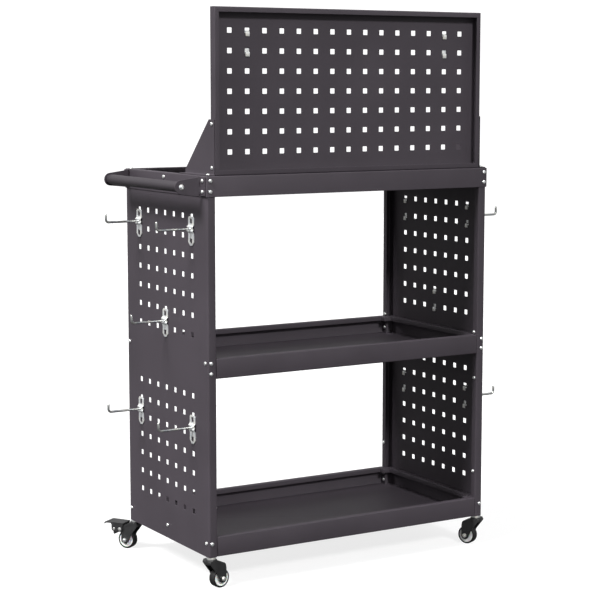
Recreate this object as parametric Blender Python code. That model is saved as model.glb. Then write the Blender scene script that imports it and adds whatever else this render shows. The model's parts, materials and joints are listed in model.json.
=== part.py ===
"""Tool cart on swivel casters: two perforated side panels, three trays, a pegboard, a push handle and hooks.

Millimetres are used for the dimensions below and turned into metres when a mesh is made. The cart stands
on z = 0 with the pegboard at its -Y side and the push handle at its -X side. The frame's origin is the
centre of the whole outline, hooks and brake pedals included, so CENTRE_X and CENTRE_Y hold the offset of
the cabinet's own centre line.
"""

import math

import bmesh
import bpy
from mathutils import Matrix, Vector

MM = 0.001
CENTRE_X = 0.0
CENTRE_Y = -25.5

# Cabinet
HALF_WIDTH = 325.0
HALF_DEPTH = 177.0
SHEET = 1.2
GAP = 0.3
POST_WIDTH = 18.0
POST_RETURN = 14.0
POST_RADIUS = 4.0
PANEL_BOTTOM = 63.0
TOP_TRAY_TOP = 796.5
MIDDLE_TRAY_TOP = 450.0
BOTTOM_TRAY_TOP = 103.0
TRAY_HEIGHT = 39.5
TOP_TRAY_FLOOR_DEPTH = 20.0
INNER_TRAY_FLOOR_DEPTH = TRAY_HEIGHT - SHEET
TRAY_RIM = 13.0
TRAY_HEM = 10.0

# Square perforation
PITCH = 38.0
HOLE = 10.0
UPPER_ROWS_TOP = 717.3
LOWER_ROWS_TOP = 370.3
SIDE_COLUMNS = 7
SIDE_ROWS = 7

# Pegboard
BOARD_HALF_WIDTH = 307.0
BOARD_BOTTOM = TOP_TRAY_TOP + GAP
BOARD_TOP = 1111.0
BOARD_DEPTH = 18.0
BOARD_LIP = 10.0
BOARD_COLUMNS = 15
BOARD_ROWS = 7
BOARD_ROWS_TOP = 1068.0
BOARD_FACE_Y = -HALF_DEPTH + BOARD_DEPTH

# Gussets that brace the pegboard
GUSSET_SHEET = 1.5
GUSSET_TOP = 902.0
GUSSET_REACH = 119.0
GUSSET_FOOT = 14.0

# Handle
HANDLE_OUT = 44.0
HANDLE_HEIGHT = 776.5
HANDLE_RADIUS = 10.0
EAR_RADIUS = 13.0
EAR_SHEET = 2.5
EAR_INSET = 18.5
EAR_ROOT_TOP = 794.5
EAR_ROOT_BOTTOM = 759.5

# Hooks
HOOK_PLATE_WIDTH = 22.0
HOOK_PLATE_SHEET = 1.5
HOOK_REACH = 75.0
HOOK_TIP = 17.0
HOOK_WIRE_RADIUS = 2.4

# Casters
STEM_INSET = 8.5
WHEEL_RADIUS = 19.0
WHEEL_HALF_WIDTH = 8.0
WHEEL_FACETS = 24
TRAIL = 19.0
HEAD_TOP = 60.5
CHEEK_OUT = 13.0
CHEEK_IN = 10.5
CASTERS = {
    "fl": (-1, -1, 9.0, False),
    "fr": (1, -1, 115.5, False),
    "rl": (-1, 1, 124.0, True),
    "rr": (1, 1, 52.0, True),
}

MATERIALS = {
    "powder_coat": ((0.060, 0.053, 0.058, 1.0), 0.55, 0.0),
    "handle_coat": ((0.085, 0.078, 0.084, 1.0), 0.45, 0.0),
    "zinc": ((0.62, 0.64, 0.64, 1.0), 0.35, 1.0),
    "steel": ((0.55, 0.56, 0.57, 1.0), 0.3, 1.0),
    "black_nylon": ((0.035, 0.035, 0.036, 1.0), 0.5, 0.0),
    "white_nylon": ((0.85, 0.85, 0.84, 1.0), 0.35, 0.0),
    "tyre": ((0.06, 0.06, 0.06, 1.0), 0.7, 0.0),
}


def clear_scene():
    for obj in list(bpy.data.objects):
        bpy.data.objects.remove(obj, do_unlink=True)


def make_materials():
    made = {}
    for name, (color, roughness, metallic) in MATERIALS.items():
        material = bpy.data.materials.new(name)
        material.use_nodes = True
        shader = material.node_tree.nodes["Principled BSDF"]
        shader.inputs["Base Color"].default_value = color
        shader.inputs["Roughness"].default_value = roughness
        shader.inputs["Metallic"].default_value = metallic
        made[name] = material
    return made


# ---- Mesh building: every function returns a bmesh in metres ----


def lofted(loops):
    """Closed solid through loops of equal length, with a cap on the first and on the last."""
    mesh = bmesh.new()
    rings = [[mesh.verts.new(Vector(point) * MM) for point in loop] for loop in loops]
    count = len(rings[0])
    for lower, upper in zip(rings, rings[1:]):
        for i in range(count):
            j = (i + 1) % count
            mesh.faces.new((lower[i], lower[j], upper[j], upper[i]))
    mesh.faces.new(list(reversed(rings[0])))
    mesh.faces.new(rings[-1])
    bmesh.ops.recalc_face_normals(mesh, faces=mesh.faces)
    return mesh


def box(low, high):
    (x0, y0, z0), (x1, y1, z1) = low, high
    corners = [(x0, y0), (x1, y0), (x1, y1), (x0, y1)]
    return lofted([[(x, y, z) for x, y in corners] for z in (z0, z1)])


def prism(outline, axis, start, end):
    """Outline of (a, b) pairs drawn along an axis. The pairs are the two other axes in X, Y, Z order."""
    place = {
        "x": lambda a, b, t: (t, a, b),
        "y": lambda a, b, t: (a, t, b),
        "z": lambda a, b, t: (a, b, t),
    }[axis]
    return lofted([[place(a, b, t) for a, b in outline] for t in (start, end)])


def circle(radius, count, centre=(0.0, 0.0), phase=0.0):
    turns = [phase + 2 * math.pi * i / count for i in range(count)]
    return [(centre[0] + radius * math.cos(t), centre[1] + radius * math.sin(t)) for t in turns]


def revolved(profile, count, axis="z", phase=0.0):
    """Profile of (radius, height) pairs, turned about an axis. A profile that closes on itself makes a ring."""
    mesh = bmesh.new()
    place = {
        "x": lambda c, s, r, h: (h, r * c, r * s),
        "y": lambda c, s, r, h: (r * s, h, r * c),
        "z": lambda c, s, r, h: (r * c, r * s, h),
    }[axis]
    rings = []
    for radius, height in profile:
        if radius == 0:
            rings.append([mesh.verts.new(Vector(place(1, 0, 0, height)) * MM)])
            continue
        turns = [phase + 2 * math.pi * i / count for i in range(count)]
        points = [place(math.cos(t), math.sin(t), radius, height) for t in turns]
        rings.append([mesh.verts.new(Vector(point) * MM) for point in points])
    pairs = list(zip(rings, rings[1:]))
    if profile[0][0] != 0:
        pairs.append((rings[-1], rings[0]))
    for lower, upper in pairs:
        for i in range(count):
            j = (i + 1) % count
            if len(lower) == 1:
                mesh.faces.new((lower[0], upper[j], upper[i]))
            elif len(upper) == 1:
                mesh.faces.new((lower[i], lower[j], upper[0]))
            else:
                mesh.faces.new((lower[i], lower[j], upper[j], upper[i]))
    bmesh.ops.recalc_face_normals(mesh, faces=mesh.faces)
    return mesh


def cylinder(radius, start, end, count, axis="z"):
    return revolved([(0, start), (radius, start), (radius, end), (0, end)], count, axis)


def swept(path, radius, count, side):
    """Round wire along a flat path. side is the direction normal to the path's plane."""
    side = Vector(side)
    points = [Vector(point) for point in path]
    steps = [(b - a).normalized() for a, b in zip(points, points[1:])]
    loops = []
    for i, point in enumerate(points):
        before = steps[max(i - 1, 0)]
        after = steps[min(i, len(steps) - 1)]
        middle = (before + after).normalized()
        across = side.cross(middle)
        stretch = 1 / max(middle.dot(after), 0.5)
        loop = []
        for a, b in circle(radius, count, phase=math.pi / count):
            loop.append(point + across * a * stretch + side * b)
        loops.append(loop)
    return lofted(loops)


def moved(mesh, offset=(0, 0, 0), turn_z=0.0):
    matrix = Matrix.Translation(Vector(offset) * MM) @ Matrix.Rotation(turn_z, 4, "Z")
    bmesh.ops.transform(mesh, matrix=matrix, verts=mesh.verts)
    return mesh


def joined(meshes):
    """Several closed meshes in one, for use as one cutter."""
    target = bmesh.new()
    for mesh in meshes:
        data = bpy.data.meshes.new("cutter")
        mesh.to_mesh(data)
        target.from_mesh(data)
        bpy.data.meshes.remove(data)
        mesh.free()
    return target


def combined(base, steps):
    """Applies Boolean steps, each (operation, bmesh), to a bmesh and returns the result."""
    data = bpy.data.meshes.new("base")
    base.to_mesh(data)
    base.free()
    obj = bpy.data.objects.new("base", data)
    bpy.context.scene.collection.objects.link(obj)
    helpers = []
    for operation, mesh in steps:
        tool_data = bpy.data.meshes.new("tool")
        mesh.to_mesh(tool_data)
        mesh.free()
        tool = bpy.data.objects.new("tool", tool_data)
        bpy.context.scene.collection.objects.link(tool)
        helpers.append(tool)
        modifier = obj.modifiers.new("join", "BOOLEAN")
        modifier.operation = operation
        modifier.solver = "EXACT"
        modifier.object = tool
    graph = bpy.context.evaluated_depsgraph_get()
    result = bmesh.new()
    made = obj.evaluated_get(graph).to_mesh()
    result.from_mesh(made)
    obj.evaluated_get(graph).to_mesh_clear()
    for helper in [obj] + helpers:
        used = helper.data
        bpy.data.objects.remove(helper, do_unlink=True)
        bpy.data.meshes.remove(used)
    bmesh.ops.remove_doubles(result, verts=result.verts, dist=1e-6)
    return result


def shared_mesh(name, mesh, material, smooth=False):
    """Turns a bmesh into mesh data with its material, for one object or several."""
    data = bpy.data.meshes.new(name)
    mesh.to_mesh(data)
    mesh.free()
    data.materials.append(material)
    for face in data.polygons:
        face.use_smooth = smooth
    if smooth:
        data.set_sharp_from_angle(angle=math.radians(35))
    return data


def add(name, mesh, material, location=(0, 0, 0), parent=None, smooth=False, turn_z=0.0):
    """Makes a bmesh or a shared mesh into a named object. Location is in millimetres, in the parent's frame."""
    data = mesh if isinstance(mesh, bpy.types.Mesh) else shared_mesh(name, mesh, material, smooth)
    obj = bpy.data.objects.new(name, data)
    bpy.context.scene.collection.objects.link(obj)
    obj.location = Vector(location) * MM
    obj.rotation_euler = (0, 0, turn_z)
    if parent is not None:
        obj.parent = parent
    return obj


def empty(name, location, parent=None, turn_z=0.0):
    obj = bpy.data.objects.new(name, None)
    bpy.context.scene.collection.objects.link(obj)
    obj.location = Vector(location) * MM
    obj.rotation_euler = (0, 0, turn_z)
    if parent is not None:
        obj.parent = parent
    return obj


# ---- Cabinet ----


def bend(centre, radius, start, end, steps):
    """Points on an arc between two angles in degrees."""
    turns = [math.radians(start + (end - start) * i / steps) for i in range(steps + 1)]
    return [(centre[0] + radius * math.cos(t), centre[1] + radius * math.sin(t)) for t in turns]


def side_panel_outline():
    """Plan of the left panel: a sheet whose two ends fold into a front flange and a return."""
    outer_x, inner_x = -HALF_WIDTH, -HALF_WIDTH + POST_WIDTH
    end_y = -HALF_DEPTH
    radius, thin = POST_RADIUS, SHEET
    front_outer = bend((outer_x + radius, end_y + radius), radius, 180, 270, 4)
    front_outer += bend((inner_x - 2, end_y + 2), 2, 270, 360, 2)
    front_outer += [(inner_x, end_y + POST_RETURN)]
    front_inner = [(inner_x - thin, end_y + POST_RETURN)]
    front_inner += bend((inner_x - 2, end_y + 2), 2 - thin, 360, 270, 2)
    front_inner += bend((outer_x + radius, end_y + radius), radius - thin, 270, 180, 4)
    front = front_outer + front_inner
    back = [(x, -y) for x, y in reversed(front)]
    return front + back


def side_holes(side):
    cutters = []
    x = side * HALF_WIDTH
    for rows_top in (UPPER_ROWS_TOP, LOWER_ROWS_TOP):
        for row in range(SIDE_ROWS):
            for column in range(SIDE_COLUMNS):
                y = PITCH * (column - (SIDE_COLUMNS - 1) / 2)
                z = rows_top - PITCH * row
                low = (x - 6, y - HOLE / 2, z - HOLE / 2)
                high = (x + 6, y + HOLE / 2, z + HOLE / 2)
                cutters.append(box(low, high))
    return joined(cutters)


def side_panel(side):
    outline = side_panel_outline()
    if side > 0:
        outline = [(-x, y) for x, y in reversed(outline)]
    top = TOP_TRAY_TOP - TOP_TRAY_FLOOR_DEPTH - SHEET - GAP
    sheet = prism(outline, "z", PANEL_BOTTOM, top)
    return combined(sheet, [("DIFFERENCE", side_holes(side))])


def notched_plan(half_x, half_y, notch_x, notch_y, inset):
    """Rectangle with its four corners cut back, all of it drawn in by inset."""
    x, y = half_x - inset, half_y - inset
    nx, ny = notch_x - inset, notch_y - inset
    if notch_x == half_x:
        return [(-x, -y), (x, -y), (x, y), (-x, y)]
    return [
        (-nx, -y), (nx, -y), (nx, -ny), (x, -ny), (x, ny), (nx, ny),
        (nx, y), (-nx, y), (-nx, ny), (-x, ny), (-x, -ny), (-nx, -ny),
    ]


def tray(half_x, half_y, notch_x, notch_y, top, floor_depth):
    """Folded pan: a floor, an apron all round it, and a rim that turns in and down."""
    floor = -floor_depth
    if floor - SHEET > -TRAY_HEIGHT:
        outside = [(SHEET, floor - SHEET), (SHEET, -TRAY_HEIGHT), (0, -TRAY_HEIGHT)]
    else:
        outside = [(0.8, -TRAY_HEIGHT), (0, 0.8 - TRAY_HEIGHT)]
    profile = outside + [
        (0, -0.8),
        (0.8, 0),
        (TRAY_RIM - 0.8, 0),
        (TRAY_RIM, -0.8),
        (TRAY_RIM, -TRAY_HEM),
        (TRAY_RIM - SHEET, -TRAY_HEM),
        (TRAY_RIM - SHEET, -SHEET),
        (SHEET, -SHEET),
        (SHEET, floor),
    ]
    loops = []
    for inset, height in profile:
        plan = notched_plan(half_x, half_y, notch_x, notch_y, inset)
        loops.append([(x, y, top + height) for x, y in plan])
    return lofted(loops)


def inner_tray(top):
    half_x = HALF_WIDTH - SHEET - GAP
    notch_x = HALF_WIDTH - POST_WIDTH - GAP
    notch_y = HALF_DEPTH - POST_RETURN - GAP
    return tray(half_x, HALF_DEPTH, notch_x, notch_y, top, INNER_TRAY_FLOOR_DEPTH)


def top_tray():
    half_x = HALF_WIDTH + GAP + SHEET
    half_y = HALF_DEPTH + GAP + SHEET
    return tray(half_x, half_y, half_x, half_y, TOP_TRAY_TOP, TOP_TRAY_FLOOR_DEPTH)


def pegboard():
    """Perforated sheet with an edge folded forward all round and a lip folded in."""
    front = -HALF_DEPTH
    profile = [
        (0, BOARD_FACE_Y),
        (0, front + 0.8),
        (0.8, front),
        (BOARD_LIP, front),
        (BOARD_LIP, front + SHEET),
        (SHEET, front + SHEET),
        (SHEET, BOARD_FACE_Y - SHEET),
    ]
    loops = []
    for inset, y in profile:
        left, right = -BOARD_HALF_WIDTH + inset, BOARD_HALF_WIDTH - inset
        low, high = BOARD_BOTTOM + inset, BOARD_TOP - inset
        loops.append([(left, y, low), (right, y, low), (right, y, high), (left, y, high)])
    cutters = []
    for row in range(BOARD_ROWS):
        for column in range(BOARD_COLUMNS):
            x = PITCH * (column - (BOARD_COLUMNS - 1) / 2)
            z = BOARD_ROWS_TOP - PITCH * row
            low = (x - HOLE / 2, BOARD_FACE_Y - 6, z - HOLE / 2)
            high = (x + HOLE / 2, BOARD_FACE_Y + 6, z + HOLE / 2)
            cutters.append(box(low, high))
    return combined(lofted(loops), [("DIFFERENCE", joined(cutters))])


def gusset(side):
    """Triangular plate beside the pegboard, with a foot turned outward onto the tray's rim."""
    inner = BOARD_HALF_WIDTH + GAP
    outer = inner + GUSSET_SHEET
    bottom = TOP_TRAY_TOP + GAP
    front = -HALF_DEPTH + 0.5
    back = -HALF_DEPTH + GUSSET_REACH
    rise = GUSSET_TOP - bottom - 8
    plate = [
        (front, bottom),
        (back, bottom),
        (back, bottom + 8),
        (back - rise, GUSSET_TOP),
        (front, GUSSET_TOP),
    ]
    low, high = sorted((side * inner, side * outer))
    mesh = prism(plate, "x", low, high)
    low, high = sorted((side * (inner + 0.2), side * (outer + GUSSET_FOOT)))
    foot = box((low, front, bottom), (high, back, bottom + GUSSET_SHEET))
    return combined(mesh, [("UNION", foot)])


# ---- Handle ----


def handle_ear(end):
    """Angle bracket on the corner: a flat against the side, and an ear that holds the bar's end."""
    side_x = -HALF_WIDTH - SHEET - 2 * GAP
    axis_x = -HALF_WIDTH - HANDLE_OUT
    ear_near = HALF_DEPTH - EAR_INSET
    ear = [(side_x, EAR_ROOT_BOTTOM)]
    steps = 9
    for i in range(steps):
        turn = math.radians(-94 - 172 * i / (steps - 1))
        ear.append((axis_x + EAR_RADIUS * math.cos(turn), HANDLE_HEIGHT + EAR_RADIUS * math.sin(turn)))
    ear.append((side_x, EAR_ROOT_TOP))
    low, high = sorted((end * (ear_near - EAR_SHEET), end * ear_near))
    plate = prism(ear, "y", low, high)
    low, high = sorted((end * (ear_near - EAR_SHEET), end * (HALF_DEPTH - 0.5)))
    flat = box((side_x - EAR_SHEET, low, EAR_ROOT_BOTTOM), (side_x, high, EAR_ROOT_TOP))
    bore = moved(cylinder(4.3, -30, 30, 16, "y"), (axis_x, end * ear_near, HANDLE_HEIGHT))
    return combined(plate, [("UNION", flat), ("DIFFERENCE", bore)])


def handle_bar():
    half = HALF_DEPTH - EAR_INSET - EAR_SHEET - GAP
    wall = 8.5
    profile = [
        (4.3, -half), (HANDLE_RADIUS - 0.8, -half), (HANDLE_RADIUS, -half + 0.8),
        (HANDLE_RADIUS, half - 0.8), (HANDLE_RADIUS - 0.8, half), (4.3, half),
        (4.3, half - 30), (wall, half - 32), (wall, 32 - half), (4.3, 30 - half),
    ]
    return revolved(profile, 20, "y")


def handle_bolt(end):
    """Pan-head bolt that runs through an ear into the bar's end."""
    face = HALF_DEPTH - EAR_INSET + GAP
    profile = [
        (0, face - 25), (4.0, face - 25), (4.0, face), (6.2, face),
        (6.2, face + 1.6), (4.8, face + 3.4), (0, face + 3.8),
    ]
    return revolved([(r, end * h) for r, h in profile], 12, "y")


# ---- Hooks ----


def hook_mesh():
    """Hook for a panel that faces +X, with the panel's face at x = 0 and the upper hole's centre at z = 0."""
    half = HOOK_PLATE_WIDTH / 2
    face = GAP
    front = face + HOOK_PLATE_SHEET
    back = -SHEET - GAP
    plate = [
        (-half, -3.5), (-half + 3.5, 0), (half - 3.5, 0), (half, -3.5),
        (half, -49), (4, -56), (-4, -56), (-half, -49),
    ]
    mesh = prism(plate, "x", face, front)
    steps = []
    slots = []
    for hole in (0, -PITCH):
        slots.append(box((face - 2, -3, hole - 12), (front + 2, 3, hole - 4.6)))
    steps.append(("DIFFERENCE", joined(slots)))
    for hole in (0, -PITCH):
        claw = [
            (front - 0.4, hole - 4.6), (front - 0.4, hole - 1.8), (back - 1.8, hole - 1.8),
            (back - 1.8, hole - 11), (back, hole - 11), (back, hole - 4.6),
        ]
        steps.append(("UNION", prism(claw, "y", -4.2, 4.2)))
    for height in (-20.2, -28.2):
        rib = box((front - 0.4, -half + 0.6, height - 1.1), (face + 4.6, half - 0.6, height + 1.1))
        steps.append(("UNION", rib))
    reach = HOOK_REACH
    wire_z = -24.2
    path = [(front - 0.4, 0, wire_z), (reach - 6, 0, wire_z)]
    for turn in (30, 60):
        angle = math.radians(turn)
        path.append((reach - 6 + 6 * math.sin(angle), 0, wire_z + 6 - 6 * math.cos(angle)))
    path += [(reach, 0, wire_z + 6), (reach, 0, wire_z + HOOK_TIP)]
    steps.append(("UNION", swept(path, HOOK_WIRE_RADIUS, 6, (0, 1, 0))))
    return combined(mesh, steps)


def hook_places():
    """Name, location and turn of each hook."""
    places = []
    spots = (
        (UPPER_ROWS_TOP, -3), (UPPER_ROWS_TOP, 3), (UPPER_ROWS_TOP - 5 * PITCH, 0),
        (LOWER_ROWS_TOP - PITCH, -3), (LOWER_ROWS_TOP - PITCH, 3),
    )
    for word, side in (("left", -1), ("right", 1)):
        for index, (height, column) in enumerate(spots, 1):
            turn = 0.0 if side > 0 else math.pi
            place = (side * HALF_WIDTH, column * PITCH, height)
            places.append((f"hook_{word}_{index}", place, turn))
    for index, column in enumerate((-6, 6), 1):
        place = (column * PITCH, BOARD_FACE_Y, BOARD_ROWS_TOP)
        places.append((f"hook_board_{index}", place, math.pi / 2))
    return places


# ---- Casters: each is built with its stem on the z axis and its wheel trailing along +X ----


def caster_socket():
    """Block fixed inside the foot of a post, bored for the caster's stem. The post's corner is at -Y."""
    outline = [(-7, -4.2), (-4.2, -7), (4.2, -7), (7, -4.2), (7, 5.4), (-7, 5.4)]
    block = prism(outline, "z", PANEL_BOTTOM, PANEL_BOTTOM + 30)
    bore = cylinder(4.3, 50, 110, 16)
    return combined(block, [("DIFFERENCE", bore)])


def caster_stem():
    """Stem, bearing collar and the king pin that the fork turns on."""
    low = HEAD_TOP - 6
    profile = [
        (0, low), (5.0, low), (5.0, HEAD_TOP - 3.3), (3.0, HEAD_TOP - 3.3),
        (3.0, HEAD_TOP + GAP), (7.0, HEAD_TOP + GAP), (7.0, PANEL_BOTTOM - GAP),
        (4.0, PANEL_BOTTOM - GAP), (4.0, 85), (0, 85),
    ]
    return revolved(profile, 16)


def cheek_outline(braked):
    tip = bend((TRAIL, WHEEL_RADIUS), 8.5, 0, -150, 8)
    front = [(5.0, 31.0), (-11.0, 53.0), (-11.0, 56.0), (-8.5, HEAD_TOP), (2.5, HEAD_TOP)]
    if braked:
        lug = bend((30.0, 42.0), 6.0, 70, -60, 6)
        back = [(23.5, 50.0)] + lug + [(27.3, 33.0)]
    else:
        back = [(23.5, 50.0), (26.0, 47.0), (27.3, 40.0)]
    return front + back + tip


def caster_fork(braked):
    """Two cheeks under a hooded head, open below and at both ends for the wheel."""
    body = prism(cheek_outline(braked), "y", -CHEEK_OUT, CHEEK_OUT)
    hollow = [(-30, -10), (-30, 55.5), (-8, 57.5), (5.8, 57.5), (21, 47.6)]
    if braked:
        hollow += [(26.5, 46), (26.5, 70), (60, 70), (60, -10)]
    else:
        hollow += [(60, 47.6), (60, -10)]
    cut = prism(hollow, "y", -CHEEK_IN, CHEEK_IN)
    king_hole = cylinder(3.4, 50, 70, 16)
    axle_hole = cylinder(2.8, -30, 30, 12, "y")
    moved(axle_hole, (TRAIL, 0, WHEEL_RADIUS))
    steps = [("DIFFERENCE", cut), ("DIFFERENCE", king_hole), ("DIFFERENCE", axle_hole)]
    if braked:
        pin_hole = cylinder(2.4, -30, 30, 12, "y")
        steps.append(("DIFFERENCE", moved(pin_hole, (30, 0, 42))))
    return combined(body, steps)


def tyre():
    """Ring about the y axis. One of its facets lies on the floor, so its corners reach a little further."""
    inner, half = 16.6, WHEEL_HALF_WIDTH
    outer = WHEEL_RADIUS / math.cos(math.pi / WHEEL_FACETS)
    profile = [
        (inner, -half), (outer - 1.2, -half), (outer, -half + 1.8),
        (outer, half - 1.8), (outer - 1.2, half), (inner, half),
    ]
    return revolved(profile, WHEEL_FACETS, "y", math.pi / WHEEL_FACETS)


def hub():
    """Wheel centre with a raised boss each side of its bore."""
    bore, boss, rim, half = 2.8, 5.5, 16.2, WHEEL_HALF_WIDTH
    face = half - 0.2
    profile = [
        (bore, -10.1), (boss, -10.1), (boss + 0.5, -face), (rim, -face),
        (rim, face), (boss + 0.5, face), (boss, 10.1), (bore, 10.1),
    ]
    return revolved(profile, WHEEL_FACETS, "y", math.pi / WHEEL_FACETS)


def axle():
    """Bolt with a hexagon head outside one cheek and a nut outside the other."""
    face = CHEEK_OUT + GAP
    shaft = cylinder(2.5, -face - 1, face + 4.2, 12, "y")
    head = cylinder(4.7, -face - 4.0, -face, 6, "y")
    nut = cylinder(4.7, face, face + 3.4, 6, "y")
    return combined(shaft, [("UNION", head), ("UNION", nut)])


def brake_pedal():
    """Pedal whose side plates straddle the fork, with a shoe that faces the tyre."""
    near, far = CHEEK_OUT + GAP, CHEEK_OUT + GAP + 2.0
    top = [(22, 56), (22, 58.5), (55, 58.8), (60, 58.0), (73.5, 50.2), (72.6, 48.2), (59, 54.5), (50, 56)]
    plate = prism(top, "y", -far, far)
    cheek = [(23, 57), (23.5, 43), (26, 36.5), (43, 35.5), (49.5, 38.5), (50, 50), (53, 57)]
    steps = []
    for low, high in ((-far, -near), (near, far)):
        steps.append(("UNION", prism(cheek, "y", low, high)))
    shoe = [(40.5, 56.5), (40.5, 38), (43.2, 30), (45.6, 30.4), (46.5, 38), (46.5, 56.5)]
    steps.append(("UNION", prism(shoe, "y", -near - 0.5, near + 0.5)))
    for side in (-1, 1):
        corner = [(62, side * 30), (62, side * far + side * 0.1), (76, side * 9), (76, side * 30)]
        steps.append(("DIFFERENCE", prism(corner, "z", 40, 70)))
    pin_hole = cylinder(2.4, -30, 30, 12, "y")
    steps.append(("DIFFERENCE", moved(pin_hole, (30, 0, 42))))
    return combined(plate, steps)


def brake_pin():
    """Rivet that the pedal turns on."""
    face = CHEEK_OUT + 2 * GAP + 2.0
    profile = [
        (0, -face - 1.2), (3.6, -face - 1.2), (3.6, -face), (2.0, -face),
        (2.0, face), (3.6, face), (3.6, face + 1.2), (0, face + 1.2),
    ]
    return revolved(profile, 12, "y")


def add_caster(corner, root, shared):
    side_x, side_y, heading, braked = CASTERS[corner]
    stem_x = side_x * (HALF_WIDTH - STEM_INSET)
    stem_y = side_y * (HALF_DEPTH - STEM_INSET)
    socket_turn = 0.0 if side_y < 0 else math.pi
    add(f"caster_socket_{corner}", shared["socket"], None, (stem_x, stem_y, 0), root, turn_z=socket_turn)
    add(f"caster_stem_{corner}", shared["stem"], None, (stem_x, stem_y, 0), root)
    swivel = empty(f"swivel_{corner}", (stem_x, stem_y, 0), root, math.radians(heading))
    add(f"caster_fork_{corner}", shared["brake_fork" if braked else "fork"], None, parent=swivel)
    hub_place = (TRAIL, 0, WHEEL_RADIUS)
    add(f"caster_tyre_{corner}", shared["tyre"], None, hub_place, swivel)
    add(f"caster_hub_{corner}", shared["hub"], None, hub_place, swivel)
    add(f"caster_axle_{corner}", shared["axle"], None, hub_place, swivel)
    if braked:
        add(f"brake_pedal_{corner}", shared["pedal"], None, parent=swivel)
        add(f"brake_pin_{corner}", shared["pin"], None, (30, 0, 42), swivel)


def main():
    clear_scene()
    mats = make_materials()
    coat = mats["powder_coat"]
    root = empty("cart", (CENTRE_X, CENTRE_Y, 0))

    add("side_panel_left", side_panel(-1), coat, parent=root)
    add("side_panel_right", side_panel(1), coat, parent=root)
    add("tray_top", top_tray(), coat, parent=root)
    add("tray_middle", inner_tray(MIDDLE_TRAY_TOP), coat, parent=root)
    add("tray_bottom", inner_tray(BOTTOM_TRAY_TOP), coat, parent=root)
    add("pegboard", pegboard(), coat, parent=root)
    add("gusset_left", gusset(-1), coat, parent=root)
    add("gusset_right", gusset(1), coat, parent=root)

    axis = (-HALF_WIDTH - HANDLE_OUT, 0, HANDLE_HEIGHT)
    add("handle_bar", handle_bar(), mats["handle_coat"], axis, root, smooth=True)
    for word, end in (("front", -1), ("rear", 1)):
        add(f"handle_ear_{word}", handle_ear(end), coat, parent=root)
        add(f"handle_bolt_{word}", handle_bolt(end), mats["steel"], axis, root, smooth=True)

    hook = shared_mesh("hook", hook_mesh(), mats["zinc"], smooth=True)
    for name, place, turn in hook_places():
        add(name, hook, None, place, root, turn_z=turn)

    shared = {
        "socket": shared_mesh("socket", caster_socket(), mats["steel"]),
        "stem": shared_mesh("stem", caster_stem(), mats["steel"], smooth=True),
        "fork": shared_mesh("fork", caster_fork(False), mats["black_nylon"]),
        "brake_fork": shared_mesh("brake_fork", caster_fork(True), mats["black_nylon"]),
        "tyre": shared_mesh("tyre", tyre(), mats["tyre"], smooth=True),
        "hub": shared_mesh("hub", hub(), mats["white_nylon"], smooth=True),
        "axle": shared_mesh("axle", axle(), mats["steel"]),
        "pedal": shared_mesh("pedal", brake_pedal(), mats["black_nylon"]),
        "pin": shared_mesh("pin", brake_pin(), mats["steel"], smooth=True),
    }
    for corner in CASTERS:
        add_caster(corner, root, shared)


main()
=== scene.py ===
"""Looks of the tool cart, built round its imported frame.

Shapes are made in millimetres in the cart's own frame: x = 0 and y = 0 are the middle of the top tray and
z = 0 is the floor. -Y is the side with the pegboard and -X is the end with the handle. Most pieces stand for
one CAD node and keep its size and place. The screws, second rivets and hook wires are pieces besides those.
"""

import json
import math

import bmesh
import bpy
from mathutils import Matrix, Vector


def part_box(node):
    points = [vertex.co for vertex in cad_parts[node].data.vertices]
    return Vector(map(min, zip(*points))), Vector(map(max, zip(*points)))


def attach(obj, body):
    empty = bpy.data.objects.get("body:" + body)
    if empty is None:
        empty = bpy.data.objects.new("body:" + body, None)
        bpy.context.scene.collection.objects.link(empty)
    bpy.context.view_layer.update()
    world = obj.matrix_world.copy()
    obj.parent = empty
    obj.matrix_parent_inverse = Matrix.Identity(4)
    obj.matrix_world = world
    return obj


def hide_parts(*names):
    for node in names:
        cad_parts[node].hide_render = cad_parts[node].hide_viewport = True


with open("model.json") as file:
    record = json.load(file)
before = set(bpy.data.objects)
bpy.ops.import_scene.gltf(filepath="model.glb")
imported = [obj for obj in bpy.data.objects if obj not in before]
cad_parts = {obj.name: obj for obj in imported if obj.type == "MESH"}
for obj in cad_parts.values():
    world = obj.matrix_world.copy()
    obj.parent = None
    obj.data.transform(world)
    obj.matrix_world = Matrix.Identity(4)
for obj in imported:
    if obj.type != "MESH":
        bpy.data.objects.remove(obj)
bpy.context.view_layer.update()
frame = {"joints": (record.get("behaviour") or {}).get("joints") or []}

MM = 0.001

# The cabinet. FOLD is the outside radius of most folds, and CUT_EDGE the chamfer on cut edges.
SHEET = 1.2
FOLD = 2.0
CUT_EDGE = 0.3
HALF_WIDTH = 325.0
HALF_DEPTH = 177.0
POST_FACE = 18.0
POST_RETURN = 14.0
POST_FOLD = 4.0

# The square holes. A cell is one pitch square, in CELL_STEPS steps each way, with one hole in its middle.
PITCH = 38.0
HALF_HOLE = 5.0
HOLE_CORNER = 0.9
CELL_STEPS = 4
SIDE_COLUMNS = 7
SIDE_ROWS = 7
BOARD_COLUMNS = 15
BOARD_ROWS = 7

# The trays. LAP is how far a tray stands outside the panels' faces, or inside them.
LAP = 1.5
TRAY_HEIGHT = 39.5
TOP_TRAY_FLOOR = 20.0
TRAY_RIM = 13.0
TRAY_HEM = 10.0

# The handle's brackets and the middle of its bar.
EAR_SHEET = 2.5
EAR_BACK = HALF_WIDTH + 1.8
EAR_INSIDE = 156.0
HANDLE_REACH = 369.0

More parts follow.
